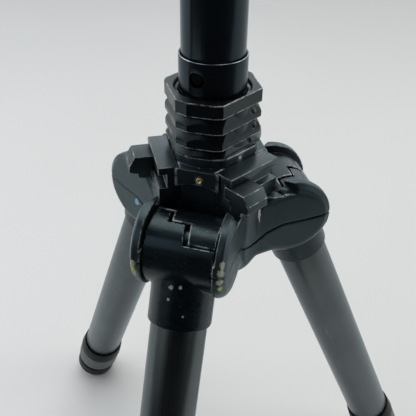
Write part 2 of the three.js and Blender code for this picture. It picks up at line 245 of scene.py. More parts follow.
# ---- other meshes ---------------------------------------------------------------------------
def fillet(points, radius, steps=3):
    """A closed outline with rounded corners: (point, 1 within a corner and 0 elsewhere)."""
    out = []
    for i, corner in enumerate(points):
        p = Vector(corner)
        a = Vector(points[i - 1]) - p
        b = Vector(points[(i + 1) % len(points)]) - p
        angle = a.angle(b)
        if radius <= 0 or corner[0] < 1e-6 or angle > math.radians(170):
            out.append((tuple(p), 0.0))
            continue
        reach = min(radius / math.tan(angle / 2), 0.45 * a.length, 0.45 * b.length)
        start, end = p + a.normalized() * reach, p + b.normalized() * reach
        for s in range(steps + 1):
            t = s / steps
            point = (1 - t) ** 2 * start + 2 * t * (1 - t) * p + t * t * end
            out.append((tuple(point), 1.0 if 0 < s < steps else 0.0))
    return out


def lathe(name, outline, segments=96, corner=0.25):
    """A closed (radius, height) outline turned about z, its corners rounded."""
    vertices, faces, edge, columns = [], [], [], []
    for (r, z), worn in fillet(outline, corner):
        if r < 1e-6:
            columns.append([len(vertices)] * segments)
            vertices.append((0, 0, z))
            edge.append(0)
            continue
        columns.append(list(range(len(vertices), len(vertices) + segments)))
        for s in range(segments):
            a = 2 * math.pi * s / segments
            vertices.append((r * math.cos(a), r * math.sin(a), z))
            edge.append(worn)
    for i in range(len(columns)):
        a, b = columns[i], columns[(i + 1) % len(columns)]
        if a[0] == a[1] and b[0] == b[1]:
            continue
        for s in range(segments):
            t = (s + 1) % segments
            ring = [a[s], a[t], b[t], b[s]]
            faces.append([v for j, v in enumerate(ring) if v != ring[j - 1]])
    mesh = bpy.data.meshes.new(name)
    mesh.from_pydata([tuple(c * MM for c in v) for v in vertices], [], faces)
    attribute(mesh, "edge", edge)
    attribute(mesh, "hollow", np.zeros(len(vertices)))
    finish_mesh(mesh)
    return mesh


def finish_mesh(mesh, angle=35):
    """Normals outward, smooth shading, and edges sharper than the angle kept hard."""
    bm = bmesh.new()
    bm.from_mesh(mesh)
    bmesh.ops.recalc_face_normals(bm, faces=bm.faces)
    for face in bm.faces:
        face.smooth = True
    for e in bm.edges:
        if len(e.link_faces) == 2 and e.calc_face_angle() > math.radians(angle):
            e.smooth = False
    bm.to_mesh(mesh)
    bm.free()


def prism(name, outline, y0, y1, edge=0.35):
    """A side outline (x outward, z up) pulled along y, every edge bevelled and marked as edge."""
    bm = bmesh.new()
    near = [bm.verts.new((x, y0, z)) for x, z in outline]
    far = [bm.verts.new((x, y1, z)) for x, z in outline]
    bm.faces.new(near)
    bm.faces.new(far[::-1])
    for i in range(len(outline)):
        j = (i + 1) % len(outline)
        bm.faces.new([near[j], near[i], far[i], far[j]])
    bmesh.ops.recalc_face_normals(bm, faces=bm.faces)
    sharp = [e for e in bm.edges if e.calc_face_angle() > math.radians(8)]
    made = bmesh.ops.bevel(
        bm, geom=sharp, offset=edge, segments=3, profile=0.5, affect="EDGES", clamp_overlap=True
    )
    rounded = set(made["faces"])
    layer = bm.verts.layers.float.new("edge")
    hollow = bm.verts.layers.float.new("hollow")
    for v in bm.verts:
        v[layer] = 1.0 if all(f in rounded for f in v.link_faces) else 0.0
        v[hollow] = 0.0
    for f in bm.faces:
        f.smooth = True
    bmesh.ops.scale(bm, vec=(MM, MM, MM), verts=bm.verts)
    mesh = bpy.data.meshes.new(name)
    bm.to_mesh(mesh)
    bm.free()
    return mesh


def piece(name, mesh, material, body, nodes, matrix=Matrix.Identity(4)):
    """One piece of the model; "spot" keeps each point's place in the piece's own frame."""
    mesh = mesh.copy()
    spots = np.empty(3 * len(mesh.vertices), np.float32)
    mesh.vertices.foreach_get("co", spots)
    mesh.attributes.new("spot", "FLOAT_VECTOR", "POINT").data.foreach_set("vector", spots)
    mesh.transform(matrix)
    mesh.materials.append(material)
    obj = bpy.data.objects.new(name, mesh)
    bpy.context.scene.collection.objects.link(obj)
    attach(obj, body)
    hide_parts(*nodes)


# ---- materials ------------------------------------------------------------------------------
class Shader:
    """Short names for the nodes that every finish here is made of.

    A finish in a piece is placed by the piece's own "spot"; others by the object's coordinates.
    """

    def __init__(self, name, in_piece=True):
        self.material = bpy.data.materials.new(name)
        self.material.use_nodes = True
        self.tree = self.material.node_tree
        self.surface = self.tree.nodes["Principled BSDF"]
        if in_piece:
            self.place = self.node("ShaderNodeAttribute", attribute_name="spot").outputs["Vector"]
        else:
            self.place = self.node("ShaderNodeTexCoord").outputs["Object"]

    def node(self, kind, **settings):
        made = self.tree.nodes.new(kind)
        for key, value in settings.items():
            setattr(made, key, value)
        return made

    def put(self, value, socket):
        if isinstance(value, bpy.types.NodeSocket):
            self.tree.links.new(value, socket)
        else:
            socket.default_value = value

    def noise(self, scale, detail=4.0, rough=0.55, stretch=(1, 1, 1)):
        mapping = self.node("ShaderNodeMapping")
        mapping.inputs["Scale"].default_value = stretch
        self.put(self.place, mapping.inputs["Vector"])
        made = self.node("ShaderNodeTexNoise")
        self.put(mapping.outputs["Vector"], made.inputs["Vector"])
        made.inputs["Scale"].default_value = scale
        made.inputs["Detail"].default_value = detail
        made.inputs["Roughness"].default_value = rough
        return made.outputs["Fac"]

    def ramp(self, value, low, high, out_low=0.0, out_high=1.0):
        made = self.node("ShaderNodeMapRange", interpolation_type="SMOOTHSTEP")
        for socket, v in zip(list(made.inputs)[:5], (value, low, high, out_low, out_high)):
            self.put(v, socket)
        return made.outputs["Result"]

    def math(self, operation, a, b=0.0):
        made = self.node("ShaderNodeMath", operation=operation)
        self.put(a, made.inputs[0])
        self.put(b, made.inputs[1])
        return made.outputs[0]

    def mix(self, factor, a, b):
        made = self.node("ShaderNodeMix", data_type="RGBA")
        self.put(factor, made.inputs["Factor"])
        for value, socket in ((a, made.inputs[6]), (b, made.inputs[7])):
            self.put(value if isinstance(value, bpy.types.NodeSocket) else (*value, 1), socket)
        return made.outputs[2]

    def blend(self, factor, a, b):
        made = self.node("ShaderNodeMix", data_type="FLOAT")
        for value, socket in ((factor, 0), (a, 2), (b, 3)):
            self.put(value, made.inputs[socket])
        return made.outputs[0]

    def attribute(self, name):
        made = self.node("ShaderNodeAttribute", attribute_name=name)
        return made.outputs["Fac"]

    def upward(self):
        """How far a point's surface faces up."""
        geometry = self.node("ShaderNodeNewGeometry")
        split = self.node("ShaderNodeSeparateXYZ")
        self.put(geometry.outputs["Normal"], split.inputs[0])
        return split.outputs["Z"]

    def near(self, centre, radius, stretch=(1, 1, 1)):
        """1 at a point of the piece (millimetres), falling to 0 at the radius."""
        mapping = self.node("ShaderNodeMapping")
        mapping.inputs["Scale"].default_value = stretch
        mapping.inputs["Location"].default_value = [-c * MM * s for c, s in zip(centre, stretch)]
        self.put(self.place, mapping.inputs["Vector"])
        length = self.node("ShaderNodeVectorMath", operation="LENGTH")
        self.put(mapping.outputs["Vector"], length.inputs[0])
        return self.ramp(length.outputs["Value"], radius * MM, 0.35 * radius * MM)

    def bump(self, height, strength, distance):
        made = self.node("ShaderNodeBump")
        made.inputs["Strength"].default_value = strength
        made.inputs["Distance"].default_value = distance * MM
        self.put(height, made.inputs["Height"])
        self.put(made.outputs["Normal"], self.surface.inputs["Normal"])

    def out(self, colour, rough, metalness=0.0):
        self.put(colour, self.surface.inputs["Base Color"])
        self.put(rough, self.surface.inputs["Roughness"])
        self.put(metalness, self.surface.inputs["Metallic"])
        return self.material


DUST, PALE_DUST = (0.15, 0.145, 0.12), (0.24, 0.235, 0.22)
TEAL = (0.68, 0.93, 1.0, 1.0)  # the cold tint of the gloss


def paint(name, base, rough, gloss=0.5, grain=0.05, wear=(0.26, 0.26, 0.25), wear_from=0.5,
          dust=0.0, chips=(), speck=0.0, patch=(0.42, 0.6), metallic=0.0):
    """Enamel on a casting: mottled tone, fine orange peel, bright worn edges, dust in corners."""
    s = Shader(name)
    s.surface.inputs["Specular IOR Level"].default_value = gloss
    s.surface.inputs["Specular Tint"].default_value = TEAL
    dark, light = tuple(c * 0.75 for c in base), tuple(c * 1.25 for c in base)
    colour = s.mix(s.ramp(s.noise(55, 3), 0.35, 0.65), dark, light)
    scuff = s.noise(420, 5, 0.7, (1, 0.25, 0.6))
    roughness = s.ramp(scuff, 0.3, 0.75, rough - 0.05, rough + 0.09)
    worn = s.math("MULTIPLY", s.ramp(s.attribute("edge"), wear_from * 0.5, wear_from),
                  s.ramp(s.noise(260, 5, 0.7), *patch))
    if speck:
        dots = s.ramp(s.noise(1500, 2, 0.5), 0.72, 0.745)
        dots = s.math("MULTIPLY", dots, s.ramp(s.noise(110, 2), 0.47, 0.56))
        worn = s.math("MAXIMUM", worn, s.math("MULTIPLY", dots, speck))
    colour = s.mix(worn, colour, wear)
    metalness = s.blend(worn, metallic, 0.5)
    roughness = s.blend(worn, roughness, 0.4)
    flaky = s.ramp(s.noise(700, 6, 0.8), 0.38, 0.6, -0.85, 0.0)
    for centre, radius, stretch, chip_colour in chips:
        chip = s.ramp(s.math("ADD", s.near(centre, radius, stretch), flaky), 0.02, 0.12)
        colour = s.mix(chip, colour, chip_colour)
        metalness = s.blend(chip, metalness, 0.0)
        roughness = s.blend(chip, roughness, 0.7)
    if dust:
        settled = s.math("MULTIPLY", s.ramp(s.attribute("hollow"), 0.15, 0.6),
                         s.ramp(s.noise(700, 6, 0.8), 0.42, 0.7))
        on_top = s.math("MULTIPLY", s.ramp(s.upward(), 0.3, 0.95),
                        s.ramp(s.noise(1100, 6, 0.8), 0.54, 0.75))
        film = s.math("MAXIMUM", settled, s.math("MULTIPLY", on_top, 0.5))
        film = s.math("MULTIPLY", film, dust)
        colour = s.mix(film, colour, DUST)
        metalness = s.blend(film, metalness, 0.0)
        roughness = s.blend(film, roughness, 0.85)
    s.bump(s.math("ADD", s.noise(900, 3), s.math("MULTIPLY", worn, -0.8)), grain, 0.12)
    return s.out(colour, roughness, metalness)


def anodised(name, base, rough, metallic, wear=(0.45, 0.46, 0.46)):
    """Drawn tube: faint lines along its length, soft blotches, scratches, a worn rim, specks."""
    s = Shader(name)
    s.surface.inputs["Specular Tint"].default_value = (0.93, 0.98, 1.0, 1.0)
    lines = s.noise(1400, 3, 0.6, (1, 1, 0.02))
    blotch = s.noise(38, 4)
    dark, light = tuple(c * 0.93 for c in base), tuple(c * 1.07 for c in base)
    colour = s.mix(s.ramp(blotch, 0.3, 0.7), dark, light)
    marks = s.math("MULTIPLY", s.ramp(s.noise(600, 2, 0.5, (1, 1, 0.06)), 0.7, 0.76),
                   s.ramp(s.noise(60, 3), 0.5, 0.6))
    worn = s.math("MULTIPLY", s.ramp(s.attribute("edge"), 0.2, 0.7),
                  s.ramp(s.noise(160, 4, 0.7), 0.3, 0.5))
    bright = s.math("MAXIMUM", s.math("MULTIPLY", marks, 0.25), worn)
    colour = s.mix(bright, colour, wear)
    specks = s.math("MULTIPLY", s.ramp(s.noise(1300, 2, 0.5), 0.72, 0.75), 0.5)
    colour = s.mix(specks, colour, DUST)
    roughness = s.ramp(lines, 0.3, 0.7, rough - 0.03, rough + 0.03)
    s.bump(lines, 0.008, 0.05)
    return s.out(colour, roughness, s.blend(worn, metallic, 0.9))


def moulded(name, base, rough, grain=0.2, scale=1500, dust=0.25, gloss=0.5):
    """Moulded rubber or plastic: fine pebble, scuffed tone, grey dust."""
    s = Shader(name)
    s.surface.inputs["Specular IOR Level"].default_value = gloss
    pebble = s.noise(scale, 2, 0.5)
    scuff = s.noise(260, 5, 0.7, (1, 1, 2.5))
    dark, light = tuple(c * 0.75 for c in base), tuple(c * 1.25 for c in base)
    colour = s.mix(s.ramp(scuff, 0.35, 0.7), dark, light)
    film = s.math("MULTIPLY", s.ramp(s.noise(500, 6, 0.8), 0.5, 0.75), dust)
    colour = s.mix(film, colour, PALE_DUST)
    s.bump(pebble, grain, 0.15)
    return s.out(colour, s.ramp(scuff, 0.3, 0.7, rough - 0.08, rough + 0.08), 0.0)


def turned(name, base, rough, in_piece=False, metallic=1.0):
    """Turned metal: fine rings of tool marks and a little tarnish."""
    s = Shader(name, in_piece)
    rings = s.noise(3000, 2, 0.5, (0.2, 0.2, 1))
    tarnish = s.noise(350, 4)
    colour = s.mix(s.ramp(tarnish, 0.4, 0.7), base, tuple(c * 0.62 for c in base))
    s.bump(rings, 0.1, 0.03)
    return s.out(colour, s.ramp(tarnish, 0.3, 0.7, rough - 0.06, rough + 0.12), metallic)


def on_arm(leg, u, v, z):
    """A point given in one arm's frame (outward, along the hinge, up), in the CAD frame."""
    a = math.radians(LEGS[leg])
    return (u * math.cos(a) - v * math.sin(a), u * math.sin(a) + v * math.cos(a), z)


def on_rim(leg, angle, v):
    """A point on a cheek's rim, the angle taken from straight up towards the leg's outside."""
    a = math.radians(angle)
    return on_arm(leg, RIM_X + RIM_R * math.sin(a), v, RIM_Z + RIM_R * math.cos(a))


def on_collar(down, y):
    """A point on the outside of a knuckle's collar, in the knuckle's own frame."""
    out = math.sqrt(COLLAR_R * COLLAR_R - y * y)
    return (down * math.sin(TILT) + out * math.cos(TILT), y, out * math.sin(TILT) - down * math.cos(TILT))


RIM_X, RIM_Z, RIM_R = 32.3, 215.6, 18.7
BARE, LIME, WHITE = (0.36, 0.34, 0.25), (0.42, 0.5, 0.06), (0.75, 0.75, 0.72)
CYAN, GRIT, SCUFF = (0.16, 0.44, 0.6), (0.17, 0.155, 0.115), (0.3, 0.31, 0.31)
NOTCHES = [(16.7, -6.8, 266.3), (17.3, -6.0, 259.4), (16.0, -7.5, 253.5)]  # pockets in the nut
ROUND, TALL = (1, 1, 1), (1, 1, 0.16)
SEAT_DOT = (12.03, -12.43, 248.0)  # on the front right of the nut's seat
CHIPS = [  # (centre, radius, stretch, colour)
    (on_rim("front", 66, 19.6), 2.2, ROUND, BARE),
    (on_rim("front", 77, 19.4), 2.6, ROUND, BARE),
    (on_rim("front", 90, 18.8), 2.2, ROUND, BARE),
    (on_rim("front", 101, 18.9), 1.7, ROUND, LIME),
    (on_rim("front", 88, -18.6), 2.6, ROUND, BARE),
    (on_rim("front", 104, -18.4), 3.0, ROUND, BARE),
    (on_rim("front", 96, -18.4), 1.7, ROUND, LIME),
    (on_arm("left", 29.2, 19.8, 211.2), 2.3, ROUND, CYAN),
    (on_arm("right", 16.8, -19.9, 220.5), 0.9, TALL, WHITE),
    (SEAT_DOT, 1.1, ROUND, WHITE),
]
COLLAR_CHIPS = [(on_collar(12.9, -1.6), 1.35, ROUND, SCUFF), (on_collar(12.3, 2.4), 1.0, ROUND, SCUFF),
                (on_collar(18.4, -2.2), 0.85, ROUND, SCUFF), (on_collar(24.6, 4.6), 0.75, ROUND, SCUFF)]
FINISHES = {
    "casting": paint(
        "hub_paint", (0.014, 0.02, 0.022), 0.34, gloss=1.0, grain=0.04, wear=(0.26, 0.27, 0.27),
        wear_from=0.95, dust=0.15, chips=CHIPS, patch=(0.38, 0.56), metallic=0.3),
    "knuckle": paint(
        "knuckle_enamel", (0.002, 0.004, 0.006), 0.27, gloss=0.5, grain=0.03, wear=(0.34, 0.36, 0.37),
        wear_from=1.0, chips=COLLAR_CHIPS, speck=0.5, patch=(0.4, 0.56)),
    "guide": paint(
        "guide_paint", (0.004, 0.005, 0.006), 0.34, gloss=0.9, grain=0.06, wear_from=0.8, dust=0.12),
    "selector": paint(
        "selector_paint", (0.009, 0.012, 0.013), 0.4, gloss=0.62, grain=0.06, wear=(0.4, 0.41, 0.4),
        wear_from=0.8),
    "nut": paint(
        "nut_plastic", (0.002, 0.003, 0.004), 0.3, gloss=0.38, grain=0.05, wear=(0.36, 0.37, 0.37),
        wear_from=0.8, dust=0.6, patch=(0.38, 0.56),
        chips=[((x + 0.8, y + 0.9, z + 0.2), 1.7, ROUND, GRIT) for x, y, z in NOTCHES]),
    "collet": paint("collet_plastic", (0.008, 0.01, 0.011), 0.5, gloss=0.4, grain=0.1, dust=1.0),
    "leg_tube": anodised("leg_anodised", (0.112, 0.128, 0.131), 0.3, 0.97),
    "inner_tube": anodised("section_anodised", (0.09, 0.1, 0.105), 0.32, 0.8),
    "column": anodised("column_anodised", (0.026, 0.037, 0.045), 0.22, 0.9, wear=(0.36, 0.39, 0.42)),
    "black_plastic": moulded("black_plastic", (0.003, 0.005, 0.0055), 0.42, 0.08, dust=0.02, gloss=0.16),
    "pad_rubber": moulded("pad_rubber", (0.02, 0.02, 0.021), 0.7, 0.3, 900),
    "grip_rubber": moulded("grip_rubber", (0.12, 0.135, 0.137), 0.6, 0.2),
    "foot_rubber": moulded("foot_rubber", (0.016, 0.021, 0.021), 0.6, 0.25, dust=0.1, gloss=0.3),
    "stud": turned("stud_steel", (0.42, 0.42, 0.42), 0.35, True),
    "steel": turned("pin_steel", (0.42, 0.42, 0.42), 0.35),
    "screw": turned("screw_black", (0.01, 0.011, 0.012), 0.45),
    "brass": turned("ring_brass", (0.8, 0.68, 0.36), 0.28, True, 0.35),
}


# ---- hub ------------------------------------------------------------------------------------
WEB_R, WEB_HALF = 17.3, 20  # the arms round the hinge, and half their width
RIM_HALF, RIM_FLAT_HALF = 20.2, 18.7  # the rim's outer face, and where its slanted edge begins
SOFT_EDGE, SOFT_TOP, SOFT_DEPTH = 4.5, 211, 8  # the arms' underside is rounded below SOFT_TOP
STEP_FLOOR = 229.2  # each rim is cut down to this level near the guides
SLOT_R, SLOT_HALF = 16.65, 15  # the gap between two cheeks
PLATE_FRONT, PLATE_TOP, CORE_BOTTOM = 22.5, 246.2, 212  # the plate above each leg
SEAT_R, SEAT_TOP = 19.4, 250.2  # the ring that the lock nut sits on
ARCH_R, ARCH_Z, ARCH_BACK = 19.3, 220.1, 20.0  # the arch cut in each plate
ARCH_HALF, ARCH_FLOOR = 15.6, 222
PIN_V, PIN_Z = 1.2, 242.0  # the brass-ringed pin in each plate
RING_HOLE_R, RING_HOLE_BACK = 1.6, 18
HINGE_HOLE_HALF = 18.4  # how far the hinge pin's hole reaches into a cheek
BORE_R, COLLET_BORE_R, COLLET_FLOOR = 14.4, 16.1, 226  # the column's bore, wider at the collet
GUIDE_BACK, GUIDE_FLOOR, GUIDE_HALF = 17.2, 228.9, 14.3  # the pocket behind each guide
# Holes for the three screws that hold the hub's halves together, between the arms.
SCREW_U, SCREW_R, SCREW_TOP, SCREW_HEAD_R, SCREW_HEAD_TOP = 19, 1.9, 221, 3.4, 196.2
ARM_WEB = [(-6, 189.3), (9, 189.3), (12.5, 191.8), (17.5, 195.6), (24, 197.2), (33.4, 197.16),
           (33.4, 222), (28, 229), (-6, 229)]
SLOT = ([(18.8, 170), (18.8, 205.46)] + arc(HINGE_R, HINGE_Z, SLOT_R, -90, -28, 9)
        + [(25.6, 300), (70, 300), (70, 170)])
# The shells' parting line: its height at each distance out along an arm, and half its gap.
SEAM_U = [0, 8, 11, 13, 15.2, 20.4, 28, 39.7, 60]
SEAM_Z = [197, 198, 199, 201, 204.2, 210.2, 213.8, 215, 218]
SEAM_GAP = 0.22
GUIDE_AZIMUTHS = [a + 60 for a in LEGS.values()]


def seam_curve():
    """The parting line with its corners smoothed, sampled every quarter of a millimetre."""
    u = np.linspace(0, 60, 241)
    z = np.interp(u, SEAM_U, SEAM_Z)
    window = np.hanning(15)
    margin = len(window) // 2
    padded = np.pad(z, margin, "edge")
    return u, np.convolve(padded, window / window.sum(), "valid")


SEAM = seam_curve()


def arm_field(u, v, z):
    """One arm: a web, and over it the crisp rim of each cheek, soft along the bottom."""
    v = np.abs(v)
    side = smin(np.hypot(u - HINGE_R, z - HINGE_Z) - WEB_R, polygon(u, z, ARM_WEB), 1.5)
    web = both(side, v - WEB_HALF, SOFT_EDGE)
    from_rim = np.hypot(u - RIM_X, z - RIM_Z) - RIM_R
    slant = from_rim * 0.485 + (v - RIM_FLAT_HALF) * 0.874
    rim = np.maximum(smax(from_rim, slant, 0.5), v - RIM_HALF)
    step = np.maximum(0.7 * u - 0.715 * v - 9.16, STEP_FLOOR - z)  # its edge runs slantwise
    rim = smax(rim, -step, 0.5)
    soft = np.clip((SOFT_TOP - z) / SOFT_DEPTH, 0, 1)
    rim = rim * (1 - soft) + both(from_rim, v - RIM_HALF, SOFT_EDGE) * soft
    return smin(web, rim, 0.8)


def hub_field(x, y, z):
    """The whole hub: three arms, plates and seat, less the slots, arches, bores and pockets."""
    arms = [arm_field(*local(x, y, azimuth), z) for azimuth in LEGS.values()]
    body = smin(smin(arms[0], arms[1], 6), arms[2], 6)
    u, v = nearest(x, y, list(LEGS.values()))
    plate = both(span(u, -5, PLATE_FRONT), np.abs(v) - SLOT_HALF, 0.5)
    plate = both(plate, span(z, CORE_BOTTOM, PLATE_TOP), 0.5)
    riser = rod(x, y, SEAT_R, z, CORE_BOTTOM, SEAT_TOP, 0.5)
    body = smin(body, np.minimum(plate, riser), 0.8)
    slot = np.maximum(polygon(u, z, SLOT), np.abs(v) - SLOT_HALF)
    body = smax(body, -slot, 0.6)
    arch = np.maximum(np.hypot(v, z - ARCH_Z) - ARCH_R, ARCH_BACK - u)
    body = smax(body, -np.maximum(arch, np.maximum(np.abs(v) - ARCH_HALF, ARCH_FLOOR - z)), 0.6)
    pin = np.maximum(np.hypot(u - HINGE_R, z - HINGE_Z) - PIN_HOLE_R, np.abs(v) - HINGE_HOLE_HALF)
    ring = np.maximum(np.hypot(v - PIN_V, z - PIN_Z) - RING_HOLE_R, RING_HOLE_BACK - u)
    r = np.hypot(x, y)
    bore = np.minimum(r - BORE_R, np.maximum(r - COLLET_BORE_R, COLLET_FLOOR - z))
    body = smax(body, -np.minimum(np.minimum(pin, ring), bore), 0.4)
    p, q = nearest(x, y, GUIDE_AZIMUTHS)
    pocket = np.maximum(np.maximum(GUIDE_BACK - p, GUIDE_FLOOR - z), np.abs(q) - GUIDE_HALF)
    body = smax(body, -pocket, 0.8)
    axis = np.hypot(p - SCREW_U, q)
    head = np.maximum(axis - SCREW_HEAD_R, z - SCREW_HEAD_TOP)
    screw = np.minimum(np.maximum(axis - SCREW_R, z - SCREW_TOP), head)
    return smax(body, -screw, 0.4)


def above_seam(x, y, z):
    """Roughly how far a point is above the parting line, which is level across each arm."""
    a, b, c = (local(x, y, azimuth)[0] for azimuth in LEGS.values())
    return (z - np.interp(smax(smax(a, b, 12), c, 12), *SEAM)) * 0.9


def upper_shell(x, y, z):
    return smax(hub_field(x, y, z), SEAM_GAP - above_seam(x, y, z), 0.6)


def lower_shell(x, y, z):
    return smax(hub_field(x, y, z), SEAM_GAP + above_seam(x, y, z), 0.6)


for name, shell, low, high in (("hub_upper", upper_shell, 198, 251), ("hub_lower", lower_shell, 189, 218)):
    mesh = field_mesh(name, shell, (-48, -54, low), (54, 49, high), 0.6, 0.45, hub_field)
    piece(name, mesh, FINISHES["casting"], "hub", [f"{name}_shell"])

# ---- angle guides and selectors ---------------------------------------------------------------
GUIDE = [(17.5, 229.2), (25.8, 229.2), (25.8, 236.5), (22.2, 236.5), (22.2, 242.8), (25.8, 242.8),
         (25.8, 246.2), (17.5, 246.2)]
SELECTOR = [(22.6, 237.0), (26.4, 237.0), (26.4, 231.6), (29.6, 231.6), (32.2, 232.2), (32.5, 234.1),
            (36.2, 235.0), (35.8, 238.4), (33.3, 242.4), (22.6, 242.4)]
guide_mesh = prism("angle_guide", GUIDE, -14, 14, 0.35)
selector_mesh = prism("angle_selector", SELECTOR, -14.6, -2.9, 0.4)
for leg, azimuth in LEGS.items():
    turn = Matrix.Rotation(math.radians(azimuth + 60), 4, "Z")
    piece(f"guide_{leg}", guide_mesh, FINISHES["guide"], "hub", [f"angle_guide_{leg}"], turn)
    piece(f"selector_{leg}", selector_mesh, FINISHES["selector"], f"selector_{leg}",
          [f"angle_selector_{leg}"], turn)

# ---- barrels: stop sleeve and knuckle ---------------------------------------------------------
ARC = math.radians(BARREL_R)  # millimetres along the barrel's face for one degree


def round_the_barrel(x, z, start):
    """Degrees from straight up towards the leg's outside, counted from start."""
    return (np.degrees(np.arctan2(x, z)) - start) % 360 + start


def unrolled(points):
    return [(y, angle * ARC) for y, angle in points]


# The stair-shaped joint between the two halves of the barrel: (y, degrees round it).
SLEEVE_EDGE = unrolled([
    (-BARREL_HALF, -17), (-6.9, -17), (-5.8, 10.5), (2.2, 10.5), (3.4, 44), (BARREL_HALF, 44),
    (BARREL_HALF, -95), (-BARREL_HALF, -95)])
KNUCKLE_EDGE = unrolled([
    (-BARREL_HALF, -14.4), (-8.4, -14.4), (-7.3, 13.1), (0, 13.1), (1.4, 46.6), (BARREL_HALF, 46.6),
    (BARREL_HALF, 235), (-BARREL_HALF, 235)])
END_WALL = 2.3  # thickness of the sleeve's end wall with its clearance
COLLAR_START, COLLAR_END = 2, 31.6  # distances down the leg from its hinge
SOCKET_R, SOCKET_START = 12.62, 16.7  # the hole in the collar that holds the leg tube


def sleeve_field(x, y, z):
    r = np.hypot(x, z)
    face = polygon(y, round_the_barrel(x, z, -180) * ARC, SLEEVE_EDGE)
    shell = both(face, span(r, CORE_R + 0.3, BARREL_R), 0.3)
    disc = both(span(r, PIN_HOLE_R, END_DISC_R), span(y, -BARREL_HALF, -BARREL_HALF + 2), 0.2)
    return np.minimum(shell, disc)


def knuckle_field(x, y, z):
    r = np.hypot(x, z)
    face = polygon(y, round_the_barrel(x, z, -60) * ARC, KNUCKLE_EDGE)
    shell = both(face, span(r, CORE_R - 1, BARREL_R), 0.3)
    core = rod(x, z, CORE_R, y, -BARREL_HALF + END_WALL, BARREL_HALF, 0.3)
    down = x * math.sin(TILT) - z * math.cos(TILT)
    out = x * math.cos(TILT) + z * math.sin(TILT)
    collar = rod(out, y, COLLAR_R, down, COLLAR_START, COLLAR_END, 0.6)
    body = smin(np.minimum(shell, core), collar, 1.2)
    socket = np.maximum(np.hypot(out, y) - SOCKET_R, SOCKET_START - down)
    pin = r - PIN_HOLE_R
    relief = np.maximum(r - END_DISC_R - 0.3, y + BARREL_HALF - END_WALL)
    return smax(body, -np.minimum(np.minimum(socket, pin), relief), 0.4)


SLEEVE_BOX = (-16.2, -14.8, -13), (16.2, 14.8, 16.2)
KNUCKLE_BOX = (-16.2, -14.8, -34.8), (26, 14.8, 16.2)
sleeve_mesh = field_mesh("stop_sleeve", sleeve_field, *SLEEVE_BOX, 0.4)
knuckle_mesh = field_mesh("leg_knuckle", knuckle_field, *KNUCKLE_BOX, 0.45, 0.5)
HINGES = {}
for leg, azimuth in LEGS.items():
    turn = Matrix.Rotation(math.radians(azimuth), 4, "Z")
    hinge = turn @ Matrix.Translation((HINGE_R * MM, 0, HINGE_Z * MM))
    HINGES[leg] = hinge
    piece(f"sleeve_{leg}", sleeve_mesh, FINISHES["knuckle"], f"stop_{leg}",
          [f"stop_sleeve_{leg}"], hinge)
    piece(f"knuckle_{leg}", knuckle_mesh, FINISHES["knuckle"], f"leg_{leg}",
          [f"leg_knuckle_{leg}"], hinge)

# ---- legs -------------------------------------------------------------------------------------
# Outlines are (radius, distance down the leg from its hinge). The tip's dome is part of a sphere
# centred on the leg's axis, placed so that the tip touches the floor at rest.
LEG_LENGTH, FOOT_R = 232.0, 13.3
DOME_Z = (LEG_LENGTH - HINGE_Z) / (1 - math.cos(TILT))
DOME_R = LEG_LENGTH - DOME_Z
dome_edge = math.asin(FOOT_R / DOME_R)
dome = [(DOME_R * math.sin(a), DOME_Z + DOME_R * math.cos(a)) for a in np.linspace(dome_edge, 0, 9)]
dome[-1] = (0, LEG_LENGTH)


def tube_wall(inner, outer, start, end):
    return [(inner, start), (outer, start), (outer, end), (inner, end)]


END_RING = [(12.62, 190.8), (13.3, 190.9), (14.2, 200.3), (11.3, 200.3), (11.3, 192.3), (12.62, 192.3)]
GRIP = [(10.02, 200.6), (14, 200.6), (14, 214), (11.6, 214.3), (11.6, 218.4), (10.02, 218.4)]
TIP = [(0, 224.4), (10.02, 224.4), (10.02, 218.7), (FOOT_R, 218.7)] + dome
ROUND_PARTS = {  # piece: (outline, material, node, body)
    "tube": (tube_wall(11.32, 12.32, 17, 192), "leg_tube", "leg_tube", "leg"),
    "end_ring": (END_RING, "black_plastic", "leg_end_ring", "leg"),
    "section_2": (tube_wall(10.02, 11.02, 22, 197.5), "inner_tube", "leg_section_2", "section_2"),
    "section_3": (tube_wall(8.72, 9.72, 26, 224), "inner_tube", "leg_section_3", "section_3"),
    "grip": (GRIP, "grip_rubber", "foot_grip", "foot"),
    "rubber_tip": (TIP, "foot_rubber", "rubber_foot", "foot"),
}
for part, (outline, material, node, body) in ROUND_PARTS.items():
    mesh = lathe(part, outline, 96, 0.3)
    for leg, hinge in HINGES.items():
        down = hinge @ Matrix.Rotation(math.pi - TILT, 4, "Y")
        piece(f"{part}_{leg}", mesh, FINISHES[material], f"{body}_{leg}", [f"{node}_{leg}"], down)

# ---- centre column ----------------------------------------------------------------------------
NUT_BOTTOM, NUT_TOP, NUT_CORE_R, NUT_BORE_R, POCKET_R = 250.6, 274.8, 16.6, 16.1, 1.4
# The nut's plan as (degrees, radius), and the outline that its tiers turn within.
NUT_CORNERS = [(-135, 20.6), (-119, 20.8), (-88, 20.9), (-78, 20.9), (-8, 20.4), (14, 18.9), (37, 20.8),
               (46, 20.8), (104, 20.6), (124, 19.4), (162, 20.6), (170, 20.4)]
NUT_PLAN = [(r * math.cos(math.radians(a)), r * math.sin(math.radians(a))) for a, r in NUT_CORNERS]
NUT_ENVELOPE = [
    (0, NUT_BOTTOM), (21.2, NUT_BOTTOM), (17.5, 254.9), (21.6, 254.9), (21.0, 257.4), (17.5, 262.1),
    (21.6, 262.1), (21.0, 264.6), (17.5, 268.9), (21.6, 268.9), (21.6, NUT_TOP), (0, NUT_TOP)]
# Each tier of the nut is also set back along its flats: (from the flat, z).
NUT_TIERS = [(-30, 250.5), (0.6, 250.5), (-1.3, 254.9), (0.6, 254.9), (0.0, 257.4), (-1.3, 262.1),
             (0.6, 262.1), (0.0, 264.6), (-1.3, 268.9), (0.6, 268.9), (0.6, 276), (-30, 276)]


